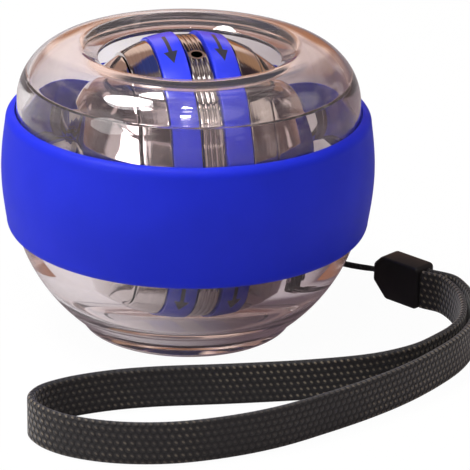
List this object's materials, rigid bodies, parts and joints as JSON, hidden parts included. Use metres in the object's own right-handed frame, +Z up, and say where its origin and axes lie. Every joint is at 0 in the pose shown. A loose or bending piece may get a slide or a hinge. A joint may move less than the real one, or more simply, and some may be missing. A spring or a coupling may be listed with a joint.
{
  "type": "gyroscopic wrist ball",
  "caption": "Clear hand ball with a rubber grip band, a spring-started rotor seen through a thumb opening, and a wrist strap.",
  "frame": {"origin": "middle of the foot, on the table", "axes": "+Z up through the thumb opening, +X along the rotor axle at rest"},
  "size_m": [0.0923, 0.0999, 0.0574],
  "materials": {
    "clear_plastic": "polished clear polycarbonate",
    "blue_silicone": "matte silicone rubber",
    "blue_plastic": "glossy enamel blue",
    "bright_metal": "bright nickel plating",
    "steel": "ground steel",
    "brass": "turned brass",
    "pale_nylon": "moulded nylon",
    "black_plastic": "fine-grained moulding",
    "black_webbing": "flat braided webbing",
    "black_string": "thin braided cord"
  },
  "bodies": {
    "housing": {"upper_shell": "clear_plastic", "lower_shell": "clear_plastic", "grip_band": "blue_silicone", "strap_clasp": "black_plastic", "wrist_strap": "black_webbing", "lanyard_string": "black_string"},
    "carrier": {"carrier_ring": "pale_nylon", "starter_arbor": "steel", "axle_bush": "brass"},
    "rotor": {"axle": "steel", "left_wheel": "bright_metal", "right_wheel": "bright_metal", "middle_ring": "bright_metal", "left_stripe": "blue_plastic", "right_stripe": "blue_plastic", "left_dome": "bright_metal", "right_dome": "bright_metal", "pawl_pin_1": "steel", "pawl_pin_2": "steel"},
    "starter": {"starter_drum": "steel", "mainspring": "steel"},
    "pawl_1": {"pawl_1": "steel"},
    "pawl_2": {"pawl_2": "steel"}
  },
  "joints": [
    {"name": "ring_turn", "type": "hinge", "parent": "housing", "child": "carrier", "pos_m": [0, 0, 0.0315], "axis": [0, 0, 1], "continuous": true},
    {"name": "rotor_spin", "type": "hinge", "parent": "carrier", "child": "rotor", "pos_m": [0, 0, 0.0315], "axis": [1, 0, 0], "continuous": true},
    {"name": "starter_wind", "type": "hinge", "parent": "carrier", "child": "starter", "pos_m": [0, 0, 0.0315], "axis": [1, 0, 0], "range_deg": [0, 1080], "stiffness_Nm_per_rad": 0.002},
    {"name": "pawl_1_swing", "type": "hinge", "parent": "rotor", "child": "pawl_1", "pos_m": [-0.0169, 0, 0.0445], "axis": [1, 0, 0], "range_deg": [0, 28]},
    {"name": "pawl_2_swing", "type": "hinge", "parent": "rotor", "child": "pawl_2", "pos_m": [-0.0169, 0, 0.0185], "axis": [1, 0, 0], "range_deg": [0, 28]}
  ],
  "couplings": [
    {"joint": "pawl_2_swing", "follows": "pawl_1_swing", "ratio": 1}
  ]
}
